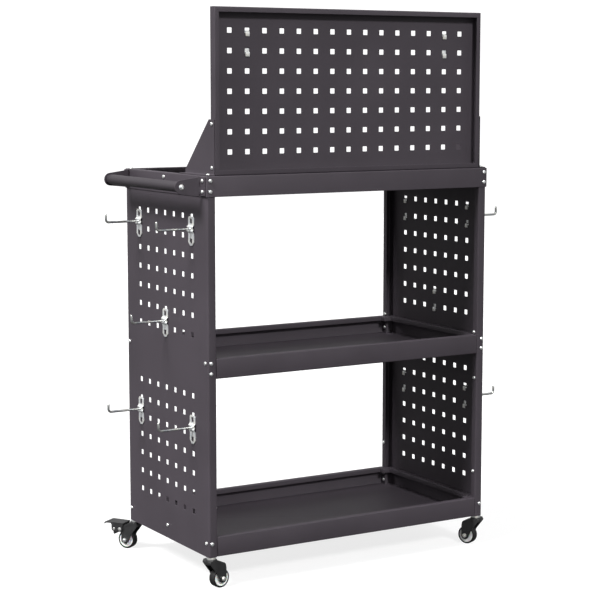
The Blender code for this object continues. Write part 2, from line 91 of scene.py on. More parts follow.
# The casters, with the swivel's axis at x = 0.
WHEEL_RADIUS = 19.0
TRAIL = 19.0
HOUSING_HALF = 13.0
HOUSING_INSIDE = 10.5
HOUSING_TOP = 58.4
COLLAR_TOP = 62.7
BRAKE_PIN = (30, 42)
SECOND_RIVET = (44, 41.4)

# What stands round the cart.
STAGE_REACH = 12000
DOME_RADIUS = 14000

tray_low, tray_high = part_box("tray_top")
ORIGIN = Vector(((tray_low.x + tray_high.x) / 2, (tray_low.y + tray_high.y) / 2, 0))


def height_of(node):
    """Lowest and highest z of a CAD node, in millimetres."""
    low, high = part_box(node)
    return low.z / MM, high.z / MM


TOP_RIM = height_of("tray_top")[1]
MIDDLE_RIM = height_of("tray_middle")[1]
BOTTOM_RIM = height_of("tray_bottom")[1]
PANEL_LOW, PANEL_HIGH = height_of("side_panel_left")
BOARD_LOW, BOARD_HIGH = height_of("pegboard")
HANDLE_HEIGHT = sum(height_of("handle_bar")) / 2

# Heights of the top row in each block of holes, and the y of the pegboard's inner face.
UPPER_ROWS_TOP = 717.3
LOWER_ROWS_TOP = 370.3
BOARD_ROWS_TOP = 1068.0
BOARD_BACK = -159.0


# ---- Materials ----


class Nodes:
    """Short ways to add and link shader nodes to one material."""

    def __init__(self, name):
        self.material = bpy.data.materials.new(name)
        self.material.use_nodes = True
        self.tree = self.material.node_tree
        self.shader = self.tree.nodes["Principled BSDF"]
        self.place = self.add("ShaderNodeTexCoord").outputs["Object"]

    def add(self, kind):
        return self.tree.nodes.new(kind)

    def link(self, output, target):
        self.tree.links.new(output, target)

    def mapped(self, scale):
        node = self.add("ShaderNodeMapping")
        node.inputs["Scale"].default_value = scale
        self.link(self.place, node.inputs["Vector"])
        return node.outputs["Vector"]

    def noise(self, scale, detail=3.0, rough=0.5, vector=None, distortion=0.0):
        node = self.add("ShaderNodeTexNoise")
        node.inputs["Scale"].default_value = scale
        node.inputs["Detail"].default_value = detail
        node.inputs["Roughness"].default_value = rough
        node.inputs["Distortion"].default_value = distortion
        self.link(vector or self.place, node.inputs["Vector"])
        return node.outputs["Fac"]

    def cells(self, scale):
        node = self.add("ShaderNodeTexVoronoi")
        node.inputs["Scale"].default_value = scale
        self.link(self.place, node.inputs["Vector"])
        return node.outputs["Distance"]

    def span(self, value, low, high, start=0.0, end=1.0):
        """Maps a value from one range to another."""
        node = self.add("ShaderNodeMapRange")
        node.inputs["From Min"].default_value = low
        node.inputs["From Max"].default_value = high
        node.inputs["To Min"].default_value = start
        node.inputs["To Max"].default_value = end
        self.link(value, node.inputs["Value"])
        return node.outputs["Result"]

    def math(self, operation, a, b):
        node = self.add("ShaderNodeMath")
        node.operation = operation
        for value, socket in ((a, node.inputs[0]), (b, node.inputs[1])):
            if isinstance(value, (int, float)):
                socket.default_value = value
            else:
                self.link(value, socket)
        return node.outputs["Value"]

    def mix(self, amount, first, second):
        node = self.add("ShaderNodeMix")
        node.data_type = "RGBA"
        self.link(amount, node.inputs["Factor"])
        for value, socket in ((first, node.inputs["A"]), (second, node.inputs["B"])):
            if isinstance(value, tuple):
                socket.default_value = (*value, 1.0)
            else:
                self.link(value, socket)
        return node.outputs["Result"]

    def bump(self, height, strength, distance):
        node = self.add("ShaderNodeBump")
        node.inputs["Strength"].default_value = strength
        node.inputs["Distance"].default_value = distance
        self.link(height, node.inputs["Height"])
        return node.outputs["Normal"]

    def finish(self, tone, rough, relief, strength, distance):
        """Links a colour, a roughness and a relief to the shader."""
        self.link(tone, self.shader.inputs["Base Color"])
        self.link(rough, self.shader.inputs["Roughness"])
        self.link(self.bump(relief, strength, distance), self.shader.inputs["Normal"])

    def set(self, **values):
        for name, value in values.items():
            self.shader.inputs[name.replace("_", " ")].default_value = value


def powder_coat(name, shade, shine):
    """Fine-textured powder coat: orange peel, a grain of small grits, and faint clouding."""
    n = Nodes(name)
    cloud = n.noise(5.0, 4.0, 0.6)
    grit = n.noise(2600.0, 2.0, 0.6)
    speck = n.cells(1500.0)
    peel = n.noise(520.0, 2.0, 0.5)
    dark = tuple(c * 0.88 for c in shade)
    light = tuple(c * 1.12 for c in shade)
    tone = n.mix(n.span(cloud, 0.3, 0.7), dark, light)
    fleck = n.span(speck, 0.02, 0.2, 1.0, 0.0)
    bright = tuple(c * 1.7 + 0.004 for c in shade)
    tone = n.mix(n.math("MULTIPLY", fleck, 0.22), tone, bright)
    base = n.span(cloud, 0.25, 0.75, shine - 0.05, shine + 0.06)
    rough = n.math("ADD", base, n.span(grit, 0.3, 0.7, -0.05, 0.05))
    relief = n.math("ADD", n.math("MULTIPLY", peel, 0.6), n.math("MULTIPLY", grit, 0.4))
    n.finish(tone, rough, relief, 0.55, 0.00012)
    n.set(Specular_IOR_Level=0.3)
    return n.material


def zinc(name, shade, shine, blush, metal=1.0):
    """Zinc plate: cool metal with a cloudy, slightly warm bloom, fine draw lines and small pits."""
    n = Nodes(name)
    cloud = n.noise(90.0, 5.0, 0.65, distortion=0.6)
    lines = n.noise(900.0, 2.0, 0.5, n.mapped((1.0, 1.0, 0.06)))
    pits = n.cells(700.0)
    warm = tuple(c * k for c, k in zip(shade, (1.0, 0.97, 0.86)))
    cool = tuple(c * k for c, k in zip(shade, (0.90, 0.95, 1.0)))
    tone = n.mix(n.span(cloud, 0.35, 0.7), cool, warm)
    dull = tuple(c * blush for c in shade)
    tone = n.mix(n.span(lines, 0.35, 0.75, 0.0, 0.5), tone, dull)
    base = n.span(cloud, 0.3, 0.7, shine - 0.06, shine + 0.1)
    rough = n.math("ADD", base, n.span(lines, 0.3, 0.7, -0.04, 0.04))
    relief = n.math("ADD", n.math("MULTIPLY", lines, 0.5), n.span(pits, 0.0, 0.25, 0.0, 0.5))
    n.finish(tone, rough, relief, 0.3, 0.00006)
    n.set(Metallic=metal)
    return n.material


def moulded(name, shade, shine, grain, depth, scatter=0.0):
    """Moulded plastic or rubber: spark-eroded grain and faint flow marks."""
    n = Nodes(name)
    flow = n.noise(60.0, 3.0, 0.55, n.mapped((1.0, 1.0, 0.35)), 0.8)
    fine = n.noise(grain, 3.0, 0.6)
    dark = tuple(c * 0.85 for c in shade)
    light = tuple(c * 1.15 + 0.002 for c in shade)
    tone = n.mix(n.span(flow, 0.3, 0.7), dark, light)
    base = n.span(flow, 0.3, 0.7, shine - 0.05, shine + 0.05)
    rough = n.math("ADD", base, n.span(fine, 0.3, 0.7, -0.05, 0.06))
    n.finish(tone, rough, fine, 0.5, depth)
    n.set(Specular_IOR_Level=0.3)
    if scatter:
        n.set(Subsurface_Weight=scatter, Subsurface_Scale=0.002)
    return n.material


COAT = powder_coat("powder_coat", (0.0445, 0.0372, 0.0455), 0.56)
# The bar has the same powder coat as the cart. This copy is darkened as painted shade.
HANDLE_COAT_PAINTED_SHADE = powder_coat("handle_coat", (0.032, 0.0275, 0.0325), 0.50)
ZINC = zinc("hook_plating", (0.86, 0.86, 0.865), 0.50, 0.84, 0.78)
# The wires have the same zinc plating as the plates. This darker copy is painted shade.
WIRE_ZINC_PAINTED_SHADE = zinc("wire_plating_painted_shade", (0.60, 0.61, 0.61), 0.32, 0.74)
# Zinc for the screws, bolts, rivets and caster stems. It is made paler than the hook plating as painted
# light, so that they stay bright in shade.
FASTENER_PAINTED_LIGHT = zinc("fastener_plating_painted_light", (0.94, 0.94, 0.94), 0.42, 0.88)
NYLON = moulded("housing_nylon", (0.021, 0.021, 0.0218), 0.42, 2600.0, 0.00008)
HUB = moulded("hub_nylon", (0.90, 0.90, 0.89), 0.32, 1800.0, 0.00004, 0.15)
TYRE = moulded("tread_rubber", (0.008, 0.008, 0.0083), 0.62, 3200.0, 0.00012)


# ---- Mesh building ----


class Shell:
    """Points in millimetres and faces, gathered until they become one mesh."""

    def __init__(self):
        self.points = []
        self.faces = []

    def point(self, place):
        self.points.append(tuple(place))
        return len(self.points) - 1

    def ring(self, places):
        return [self.point(place) for place in places]

    def bridge(self, first, second, closed=True):
        count = len(first)
        for i in range(count if closed else count - 1):
            j = (i + 1) % count
            self.faces.append((first[i], first[j], second[j], second[i]))

    def cap(self, ring):
        self.faces.append(tuple(ring))

    def fan(self, ring, centre):
        for i, point in enumerate(ring):
            self.faces.append((point, ring[(i + 1) % len(ring)], centre))


def as_mesh(name, shell, material, sharp=35, offset=(0, 0, 0)):
    """Mesh in metres with outward faces, smooth except over edges sharper than the angle."""
    work = bmesh.new()
    points = [work.verts.new((Vector(place) + Vector(offset)) * MM) for place in shell.points]
    for face in shell.faces:
        if len(set(face)) > 2:
            work.faces.new([points[i] for i in face])
    bmesh.ops.recalc_face_normals(work, faces=work.faces)
    return finish_mesh(name, work, material, sharp)


def finish_mesh(name, work, material, sharp):
    data = bpy.data.meshes.new(name)
    work.to_mesh(data)
    work.free()
    data.shade_smooth()
    data.set_sharp_from_angle(angle=math.radians(sharp))
    data.materials.append(material)
    return data


def baked(data, matrix):
    """Copy of a mesh with its place in the scene worked into its points, so that its box is exact."""
    copy = data.copy()
    copy.transform(matrix)
    return copy


def in_scene(name, data):
    """New object for some data, linked to the scene."""
    obj = bpy.data.objects.new(name, data)
    bpy.context.scene.collection.objects.link(obj)
    return obj


def place_piece(name, data, body, node=None, matrix=None, bevel=0.0):
    """Puts a mesh in the scene as a piece of a body, in place of a CAD node where one is named."""
    obj = in_scene(name, data)
    if matrix is not None:
        obj.matrix_world = matrix
    if bevel:
        modifier = obj.modifiers.new("edges", "BEVEL")
        modifier.width = bevel * MM
        modifier.segments = 3
        modifier.limit_method = "ANGLE"
        modifier.angle_limit = math.radians(32)
        modifier.harden_normals = True
    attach(obj, body)
    if node:
        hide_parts(node)


def cart_piece(name, shell, material, node, bevel=0.0):
    """A piece whose shell is drawn in the cart's own frame and rides on the cabinet."""
    data = as_mesh(name, shell, material, offset=(ORIGIN.x / MM, ORIGIN.y / MM, 0))
    place_piece(name, data, "cart", node, bevel=bevel)


def arc(centre, radius, start, end, steps):
    """Points on an arc, between two angles in degrees."""
    turns = [math.radians(start + (end - start) * i / steps) for i in range(steps + 1)]
    return [(centre[0] + radius * math.cos(t), centre[1] + radius * math.sin(t)) for t in turns]


def turned(profile, count, axis="z", sides=None):
    """Shell of a profile of (radius, height) pairs turned about an axis. sides gives a ring fewer corners."""
    place = {
        "y": lambda c, s, r, h: (r * s, h, r * c),
        "z": lambda c, s, r, h: (r * c, r * s, h),
    }[axis]
    shell = Shell()
    rings = []
    for k, (radius, height) in enumerate(profile):
        if radius == 0:
            rings.append([shell.point(place(1, 0, 0, height))])
            continue
        corners = (sides or {}).get(k)
        points = []
        for i in range(count):
            turn = 2 * math.pi * i / count
            reach = radius
            if corners:
                half = math.pi / corners
                off_corner = abs((turn + half) % (2 * half) - half)
                reach = radius * math.cos(half) / math.cos(half - off_corner)
            points.append(place(math.cos(turn), math.sin(turn), reach, height))
        rings.append(shell.ring(points))
    pairs = list(zip(rings, rings[1:]))
    if len(rings[0]) > 1 and len(rings[-1]) > 1:
        pairs.append((rings[-1], rings[0]))
    for lower, upper in pairs:
        if len(lower) == 1:
            shell.fan(upper, lower[0])
        elif len(upper) == 1:
            shell.fan(lower, upper[0])
        else:
            shell.bridge(lower, upper)
    return shell


def both_sides(right):
    """Profile of (radius, height) pairs that ends with a given half and starts with its mirror image."""
    return [(r, -h) for r, h in reversed(right)] + right


def prism(outline, axis, start, end):
    """Shell of an outline drawn along an axis. Its pairs are the other two axes, in X, Y, Z order."""
    place = {
        "x": lambda a, b, t: (t, a, b),
        "y": lambda a, b, t: (a, t, b),
        "z": lambda a, b, t: (a, b, t),
    }[axis]
    shell = Shell()
    low = shell.ring(place(a, b, start) for a, b in outline)
    high = shell.ring(place(a, b, end) for a, b in outline)
    shell.bridge(low, high)
    shell.cap(low)
    shell.cap(high)
    return shell


def slab(low, high):
    """Shell of a box between two corners."""
    plan = [(low[0], low[1]), (high[0], low[1]), (high[0], high[1]), (low[0], high[1])]
    return prism(plan, "z", low[2], high[2])


def bore(radius, start, end, count, axis="z"):
    """Shell of a round cutter along an axis."""
    return turned([(0, start), (radius, start), (radius, end), (0, end)], count, axis)


def moved(shell, offset):
    shell.points = [tuple(Vector(place) + Vector(offset)) for place in shell.points]
    return shell


def gathered(*shells):
    """Several shells as one, for use as one cutter."""
    whole = Shell()
    for shell in shells:
        base = len(whole.points)
        whole.points += shell.points
        whole.faces += [tuple(base + i for i in face) for face in shell.faces]
    return whole


def combined(name, base, steps, material, sharp):
    """Mesh of a shell after Boolean steps, each (operation, shell)."""
    obj = in_scene("base", as_mesh("base", base, material))
    helpers = [obj]
    for operation, shell in steps:
        tool = in_scene("tool", as_mesh("tool", shell, material))
        helpers.append(tool)
        modifier = obj.modifiers.new("join", "BOOLEAN")
        modifier.operation = operation
        modifier.solver = "EXACT"
        modifier.object = tool
    graph = bpy.context.evaluated_depsgraph_get()
    work = bmesh.new()
    work.from_mesh(obj.evaluated_get(graph).to_mesh())
    obj.evaluated_get(graph).to_mesh_clear()
    for helper in helpers:
        used = helper.data
        bpy.data.objects.remove(helper, do_unlink=True)
        bpy.data.meshes.remove(used)
    bmesh.ops.remove_doubles(work, verts=work.verts, dist=1e-6)
    bmesh.ops.dissolve_limit(work, angle_limit=0.01, verts=work.verts, edges=work.edges)
    return finish_mesh(name, work, material, sharp)


# ---- Perforated sheets ----


def hole_ring(half, corner):
    """Sixteen points round a square hole, starting at its lower left corner, to match a cell's edge."""
    flat = half - corner
    slant = half - corner * (1 - math.sqrt(0.5))
    side = [(-slant, -slant), (-flat, -half), (0, -half), (flat, -half)]
    points = side + [(-z, x) for x, z in side]
    return points + [(-x, -z) for x, z in points]


def punched_grid(shell, outer, inner, cells, wall):
    """Sheet with two surfaces over one grid of points, and square holes in some of its cells.

    outer and inner are columns of rows of point numbers. cells lists (column, row, centre), with the column
    and row of a cell's first point. wall(centre, a, b, depth) is where a point of a hole lies.
    """
    skipped = set()
    for column, row, _ in cells:
        skipped |= {(column + i, row + j) for i in range(CELL_STEPS) for j in range(CELL_STEPS)}
    for i in range(len(outer) - 1):
        for j in range(len(outer[0]) - 1):
            if (i, j) in skipped:
                continue
            for surface in (outer, inner):
                corners = (surface[i][j], surface[i + 1][j], surface[i + 1][j + 1], surface[i][j + 1])
                shell.faces.append(corners)
    for column, row, centre in cells:
        walk = border_walk(CELL_STEPS, CELL_STEPS)
        rings = []
        for surface, depths in ((outer, (0, CUT_EDGE)), (inner, (SHEET, SHEET - CUT_EDGE))):
            border = [surface[column + i][row + j] for i, j in walk]
            wide = hole_ring(HALF_HOLE + CUT_EDGE, HOLE_CORNER + CUT_EDGE)
            narrow = hole_ring(HALF_HOLE, HOLE_CORNER)
            mouth = shell.ring(wall(centre, a, b, depths[0]) for a, b in wide)
            throat = shell.ring(wall(centre, a, b, depths[1]) for a, b in narrow)
            shell.bridge(border, mouth)
            shell.bridge(mouth, throat)
            rings.append(throat)
        shell.bridge(rings[0], rings[1])


def steps_between(start, end, count):
    return [start + (end - start) * i / count for i in range(count + 1)]


def rows_of_cells(top, rows):
    """Heights of the grid's rows over one block of holes, whose top row is at a height."""
    high = top + PITCH / 2
    return steps_between(high - rows * PITCH, high, rows * CELL_STEPS)


def hole_centres(top, columns, rows):
    """(column, row, centre) of each hole in a block, row by row from the lowest."""
    for row in range(rows):
        for column in range(columns):
            across = PITCH * (column - (columns - 1) / 2)
            yield column, row, (across, top - PITCH * (rows - 1 - row))


def border_walk(columns, rows):
    """Places (i, j) round the edge of a grid, from its lower left corner."""
    walk = [(i, 0) for i in range(columns)] + [(columns, j) for j in range(rows)]
    return walk + [(columns - i, rows) for i in range(columns)] + [(0, rows - j) for j in range(rows)]


def side_panel(side):
    """Perforated side, folded at both ends into a post with a front flange and a return."""
    outer_x, inner_x = HALF_WIDTH, HALF_WIDTH - POST_FACE
    end_y = HALF_DEPTH
    half = PITCH * SIDE_COLUMNS / 2
    lip_middle = (inner_x + FOLD, end_y - FOLD)
    bend_middle = (outer_x - POST_FOLD, end_y - POST_FOLD)
    folded = [(inner_x, end_y - POST_RETURN)] + arc(lip_middle, FOLD, 180, 90, 4)
    folded += arc(bend_middle, POST_FOLD, 90, 0, 6)
    folded_inside = [(inner_x + SHEET, end_y - POST_RETURN)] + arc(lip_middle, FOLD - SHEET, 180, 90, 4)
    folded_inside += arc(bend_middle, POST_FOLD - SHEET, 90, 0, 6)
    flat = steps_between(-half, half, SIDE_COLUMNS * CELL_STEPS)
    columns = [(x, -y) for x, y in folded] + [(outer_x, y) for y in flat] + folded[::-1]
    inside = [(x, -y) for x, y in folded_inside] + [(outer_x - SHEET, y) for y in flat] + folded_inside[::-1]
    tops = (LOWER_ROWS_TOP, UPPER_ROWS_TOP)
    blocks = [rows_of_cells(top, SIDE_ROWS) for top in tops]
    rows = [PANEL_LOW] + blocks[0] + blocks[1] + [PANEL_HIGH]
    shell = Shell()
    outer = [shell.ring((side * x, y, z) for z in rows) for x, y in columns]
    inner = [shell.ring((side * x, y, z) for z in rows) for x, y in inside]
    cells = []
    for block, top in enumerate(tops):
        for column, row, centre in hole_centres(top, SIDE_COLUMNS, SIDE_ROWS):
            start_row = 1 + block * len(blocks[0]) + row * CELL_STEPS
            cells.append((len(folded) + column * CELL_STEPS, start_row, centre))

    def wall(centre, a, b, depth):
        return (side * (outer_x - depth), centre[0] + a, centre[1] + b)

    punched_grid(shell, outer, inner, cells, wall)
    for end in (0, -1):
        shell.bridge(outer[end], inner[end], closed=False)
        shell.bridge([column[end] for column in outer], [column[end] for column in inner], closed=False)
    return shell


def pegboard():
    """Perforated board with a folded edge and a turned-in lip all round."""
    half = PITCH * BOARD_COLUMNS / 2
    edge = HALF_WIDTH - POST_FACE
    lip = 10.0
    front, back = -HALF_DEPTH, BOARD_BACK
    xs = [-edge + FOLD] + steps_between(-half, half, BOARD_COLUMNS * CELL_STEPS) + [edge - FOLD]
    zs = [BOARD_LOW + FOLD] + rows_of_cells(BOARD_ROWS_TOP, BOARD_ROWS) + [BOARD_HIGH - FOLD]
    shell = Shell()
    outer = [shell.ring((x, back, z) for z in zs) for x in xs]
    inner = [shell.ring((x, back - SHEET, z) for z in zs) for x in xs]
    cells = []
    for column, row, centre in hole_centres(BOARD_ROWS_TOP, BOARD_COLUMNS, BOARD_ROWS):
        cells.append((1 + column * CELL_STEPS, 1 + row * CELL_STEPS, centre))

    def wall(centre, a, b, depth):
        return (centre[0] + a, back - depth, centre[1] + b)

    punched_grid(shell, outer, inner, cells, wall)
    last_x, last_z = len(xs) - 1, len(zs) - 1
    walk = border_walk(last_x, last_z)

    def frame_ring(inset, y):
        places = []
        for i, j in walk:
            x = -edge + inset if i == 0 else edge - inset if i == last_x else xs[i]
            z = BOARD_LOW + inset if j == 0 else BOARD_HIGH - inset if j == last_z else zs[j]
            places.append((x, y, z))
        return shell.ring(places)

    profile = arc((FOLD, back - FOLD), FOLD, 90, 180, 4)[1:]
    profile += arc((FOLD, front + FOLD), FOLD, 180, 270, 4)
    profile += [(lip - CUT_EDGE, front), (lip, front + CUT_EDGE)]
    profile += [(lip, front + SHEET - CUT_EDGE), (lip - CUT_EDGE, front + SHEET)]
    profile += arc((FOLD, front + FOLD), FOLD - SHEET, 270, 180, 3)
    profile += arc((FOLD, back - FOLD), FOLD - SHEET, 180, 90, 3)[:-1]
    rings = [[outer[i][j] for i, j in walk]]
    rings += [frame_ring(inset, y) for inset, y in profile]
    rings += [[inner[i][j] for i, j in walk]]
    for first, second in zip(rings, rings[1:]):
        shell.bridge(first, second)
    return shell


# ---- Folded trays ----


def rounded_plan(corners, inset, radius, steps=3):
    """Right-angled outline drawn in by inset, with each corner rounded."""
    count = len(corners)
    places = []
    for i, corner in enumerate(corners):
        before = Vector(corners[i - 1])
        here = Vector(corner)
        after = Vector(corners[(i + 1) % count])
        arriving = (here - before).normalized()
        leaving = (after - here).normalized()
        inward = Vector((-arriving.y, arriving.x)) + Vector((-leaving.y, leaving.x))
        here = here + inward * inset
        middle = here - arriving * radius + leaving * radius
        start = here - arriving * radius - middle
        end = here + leaving * radius - middle
        for k in range(steps + 1):
            turn = math.pi / 2 * k / steps
            places.append(middle + start * math.cos(turn) + end * math.sin(turn))
    return places


def tray(corners, rim, corner_radius, floor=None):
    """Folded pan with an apron and a rim that turns in and down. floor is the depth of a floor set inside."""
    low = -TRAY_HEIGHT
    if floor:
        profile = [(SHEET, -floor - SHEET), (SHEET, low + CUT_EDGE), (SHEET - CUT_EDGE, low)]
        profile += [(CUT_EDGE, low), (0, low + CUT_EDGE)]
        inside = [(SHEET, -floor)]
    else:
        profile = arc((FOLD, low + FOLD), FOLD, 270, 180, 4)
        inside = arc((FOLD, low + FOLD), FOLD - SHEET, 180, 270, 3)
    profile += arc((FOLD, -FOLD), FOLD, 180, 90, 4)
    profile += arc((TRAY_RIM - FOLD, -FOLD), FOLD, 90, 0, 4)
    profile += [(TRAY_RIM, CUT_EDGE - TRAY_HEM), (TRAY_RIM - CUT_EDGE, -TRAY_HEM)]
    profile += [(TRAY_RIM - SHEET + CUT_EDGE, -TRAY_HEM), (TRAY_RIM - SHEET, CUT_EDGE - TRAY_HEM)]
    profile += arc((TRAY_RIM - FOLD, -FOLD), FOLD - SHEET, 0, 90, 3)
    profile += arc((FOLD, -FOLD), FOLD - SHEET, 90, 180, 3)
    profile += inside
    shell = Shell()
    rings = []
    for inset, depth in profile:
        radius = max(corner_radius - inset, CUT_EDGE)
        plan = rounded_plan(corners, inset, radius)
        rings.append(shell.ring((x, y, rim + depth) for x, y in plan))
    for first, second in zip(rings, rings[1:]):
        shell.bridge(first, second)
    shell.cap(rings[0])
    shell.cap(rings[-1])
    return shell


def top_tray_corners():
    x, y = HALF_WIDTH + LAP, HALF_DEPTH + LAP
    return [(-x, -y), (x, -y), (x, y), (-x, y)]


def inner_tray_corners():
    """Outline between the panels, notched round the corner posts."""
    gap = 0.3
    x, y = HALF_WIDTH - LAP, HALF_DEPTH
    notch_x, notch_y = HALF_WIDTH - POST_FACE - gap, HALF_DEPTH - POST_RETURN - gap
    return [
        (-notch_x, -y), (notch_x, -y), (notch_x, -notch_y), (x, -notch_y), (x, notch_y), (notch_x, notch_y),
        (notch_x, y), (-notch_x, y), (-notch_x, notch_y), (-x, notch_y), (-x, -notch_y), (-notch_x, -notch_y),
    ]


# ---- Bent plates ----


def bent_plate(stations, place):
    """Strip of sheet through stations of (outer point, inner point, low, high).

    place(point, width) is where a station's point lies at its low or high width.
    """
    shell = Shell()
    outer = [shell.ring((place(out, low), place(out, high))) for out, _, low, high in stations]
    inner = [shell.ring((place(inn, low), place(inn, high))) for _, inn, low, high in stations]
    for surface in (outer, inner):
        for a, b in zip(surface, surface[1:]):
            shell.faces.append((a[0], b[0], b[1], a[1]))
    for k in (0, 1):
        for i in range(len(stations) - 1):
            shell.faces.append((outer[i][k], outer[i + 1][k], inner[i + 1][k], inner[i][k]))
    for end in (0, -1):
        shell.faces.append((outer[end][0], outer[end][1], inner[end][1], inner[end][0]))
    return shell


def quarter_bend(centre, thick, low, high):
    """Stations round a right-angled bend about a centre, with an inside radius of 1 mm."""
    outer = arc(centre, 1.0, 180, 270, 5)
    inner = arc(centre, 1.0 + thick, 180, 270, 5)
    return [(out, inn, low, high) for out, inn in zip(outer, inner)]


def gusset(side):
    """Triangular brace beside the pegboard, with a foot turned out over the tray's rim."""
    low, top = height_of("gusset_left")
    thick, foot = 1.5, 14
    inner_x = HALF_WIDTH - POST_FACE + 0.3
    outer_x = inner_x + thick
    front, back = -176.5, -58.0
    slope_foot = low + 8
    stations = []
    for share in (0.0, 0.5, 1.0):
        z = top + (slope_foot - top) * share
        stations.append(((outer_x, z), (inner_x, z), front, back - (z - slope_foot)))
    stations += quarter_bend((outer_x + 1.0, low + thick + 1.0), thick, front, back)
    stations.append(((outer_x + foot, low + thick), (outer_x + foot, low), front, back))
    return bent_plate(stations, lambda point, y: (side * point[0], y, point[1]))


def handle_ear(end):
    """Bracket bent round the corner, with a round end that carries the handle."""
    low, high = height_of("handle_ear_front")
    face, outside = EAR_BACK + EAR_SHEET, EAR_INSIDE + EAR_SHEET
    round_end = 13.0
    stations = [((face, 176.5), (EAR_BACK, 176.5), low, high)]
    stations += quarter_bend((face + 1.0, outside + 1.0), EAR_SHEET, low, high)
    start = stations[-1][0][0]
    for share in (0.5, 1.0):
        x = start + (HANDLE_REACH - start) * share
        lower = low + (HANDLE_HEIGHT - round_end - low) * share
        upper = high + (HANDLE_HEIGHT + round_end - high) * share
        stations.append(((x, outside), (x, EAR_INSIDE), lower, upper))
    for turn in (15, 30, 42, 54, 64, 73, 81, 86):
        t = math.radians(turn)
        x, rise = HANDLE_REACH + round_end * math.sin(t), round_end * math.cos(t)
        stations.append(((x, outside), (x, EAR_INSIDE), HANDLE_HEIGHT - rise, HANDLE_HEIGHT + rise))
    return bent_plate(stations, lambda point, z: (-point[0], end * point[1], z))


# ---- Handle and fasteners ----


def on_handle_axis(shell):
    return moved(shell, (-HANDLE_REACH, 0, HANDLE_HEIGHT))


def handle_bar():
    """Round bar with a soft edge at each end."""
    half, radius = 155.7, 10.0
    outer = arc((radius - 1.0, half - 1.0), 1.0, 0, 90, 3)
    return on_handle_axis(turned(both_sides(outer + [(7.8, half)]), 72, "y"))


def cap_bolt(end):
    """Bolt outside the ear, with a washer and a domed head. Rings 12 and 13 are its hexagon recess."""
    face = EAR_INSIDE + EAR_SHEET + 0.3
    profile = [
        (0, face - 25), (3.9, face - 25), (3.9, face), (4.9, face), (5.1, face + 0.2), (5.1, face + 0.8),
        (4.9, face + 1.0), (4.1, face + 1.0), (4.1, face + 1.7), (3.8, face + 2.7), (3.1, face + 3.4),
        (2.3, face + 3.65), (1.7, face + 3.65), (1.6, face + 2.4), (0, face + 2.2),
    ]
    return on_handle_axis(turned([(r, end * h) for r, h in profile], 36, "y", {12: 6, 13: 6}))


def screw_mesh():
    """Pan-head screw with a cross recess. Its seat is at z = 0 and its head points up."""
    profile = [(0, -1.0), (2.0, -1.0), (2.0, 0), (3.5, 0), (3.75, 0.25), (3.75, 0.9)]
    profile += [(3.6, 1.5), (3.1, 2.0), (2.2, 2.35), (1.2, 2.45), (0, 2.5)]
    arms = []
    for long_x, long_y in ((2.0, 0.42), (0.42, 2.0)):
        top = [(-long_x, -long_y), (long_x, -long_y), (long_x, long_y), (-long_x, long_y)]
        arm = Shell()
        high = arm.ring((x, y, 3.0) for x, y in top)
        low = arm.ring((x * 0.62, y * 0.62, 1.1) for x, y in top)
        arm.bridge(low, high)
        arm.cap(low)
        arm.cap(high)
        arms.append(("DIFFERENCE", arm))
    return combined("screw", turned(profile, 28), arms, FASTENER_PAINTED_LIGHT, 40)


def facing(normal):
    """Turn that takes +Z to a normal."""
    return Vector((0, 0, 1)).rotation_difference(Vector(normal)).to_matrix().to_4x4()


def add_fastener(name, data, place, normal, turn):
    """A screw with its seat at a place, its head along a normal and its cross turned in degrees."""
    spin = Matrix.Rotation(math.radians(turn), 4, "Z")
    matrix = Matrix.Translation(ORIGIN + Vector(place) * MM) @ facing(normal) @ spin
    place_piece(name, data, "cart", matrix=matrix)


def screw_places():
    """Place and outward normal of each screw in the cabinet."""
    on_face, on_side = 318.4, 167.5
    places = []
    for side in (-1, 1):
        top_face = EAR_BACK + EAR_SHEET if side < 0 else HALF_WIDTH + LAP
        for end in (-1, 1):
            for z in (787.5, 767.0):
                places.append(((side * on_face, end * (HALF_DEPTH + LAP), z), (0, end, 0)))
                places.append(((side * top_face, end * on_side, z), (side, 0, 0)))
            for z in (441.0, 421.0, 89.8):
                places.append(((side * on_face, end * HALF_DEPTH, z), (0, end, 0)))
            for z in (440.8, 89.8):
                places.append(((side * HALF_WIDTH, end * 167.3, z), (side, 0, 0)))
            for x, y, z in (
                (307, 169.5, 358.3), (307, 169.5, 159.3), (307, 167, 454.3),
                (305.5, 167, 424.5), (305.5, 167, 89.5), (305.5, 167, 74.5),
            ):
                places.append(((side * x, end * y, z), (-side, 0, 0)))
            foot = TOP_RIM + (1.8 if end < 0 else 0)
            places.append(((side * 317.5, end * 168.0, foot), (0, 0, 1)))
        places.append(((side * (HALF_WIDTH + LAP), 0, 787.5), (side, 0, 0)))
        places.append(((side * HALF_WIDTH, 0, 89.4), (side, 0, 0)))
        for z in (893.3, 811.3):
            places.append(((side * 308.8, -168, z), (side, 0, 0)))
    return places


# ---- Hooks ----


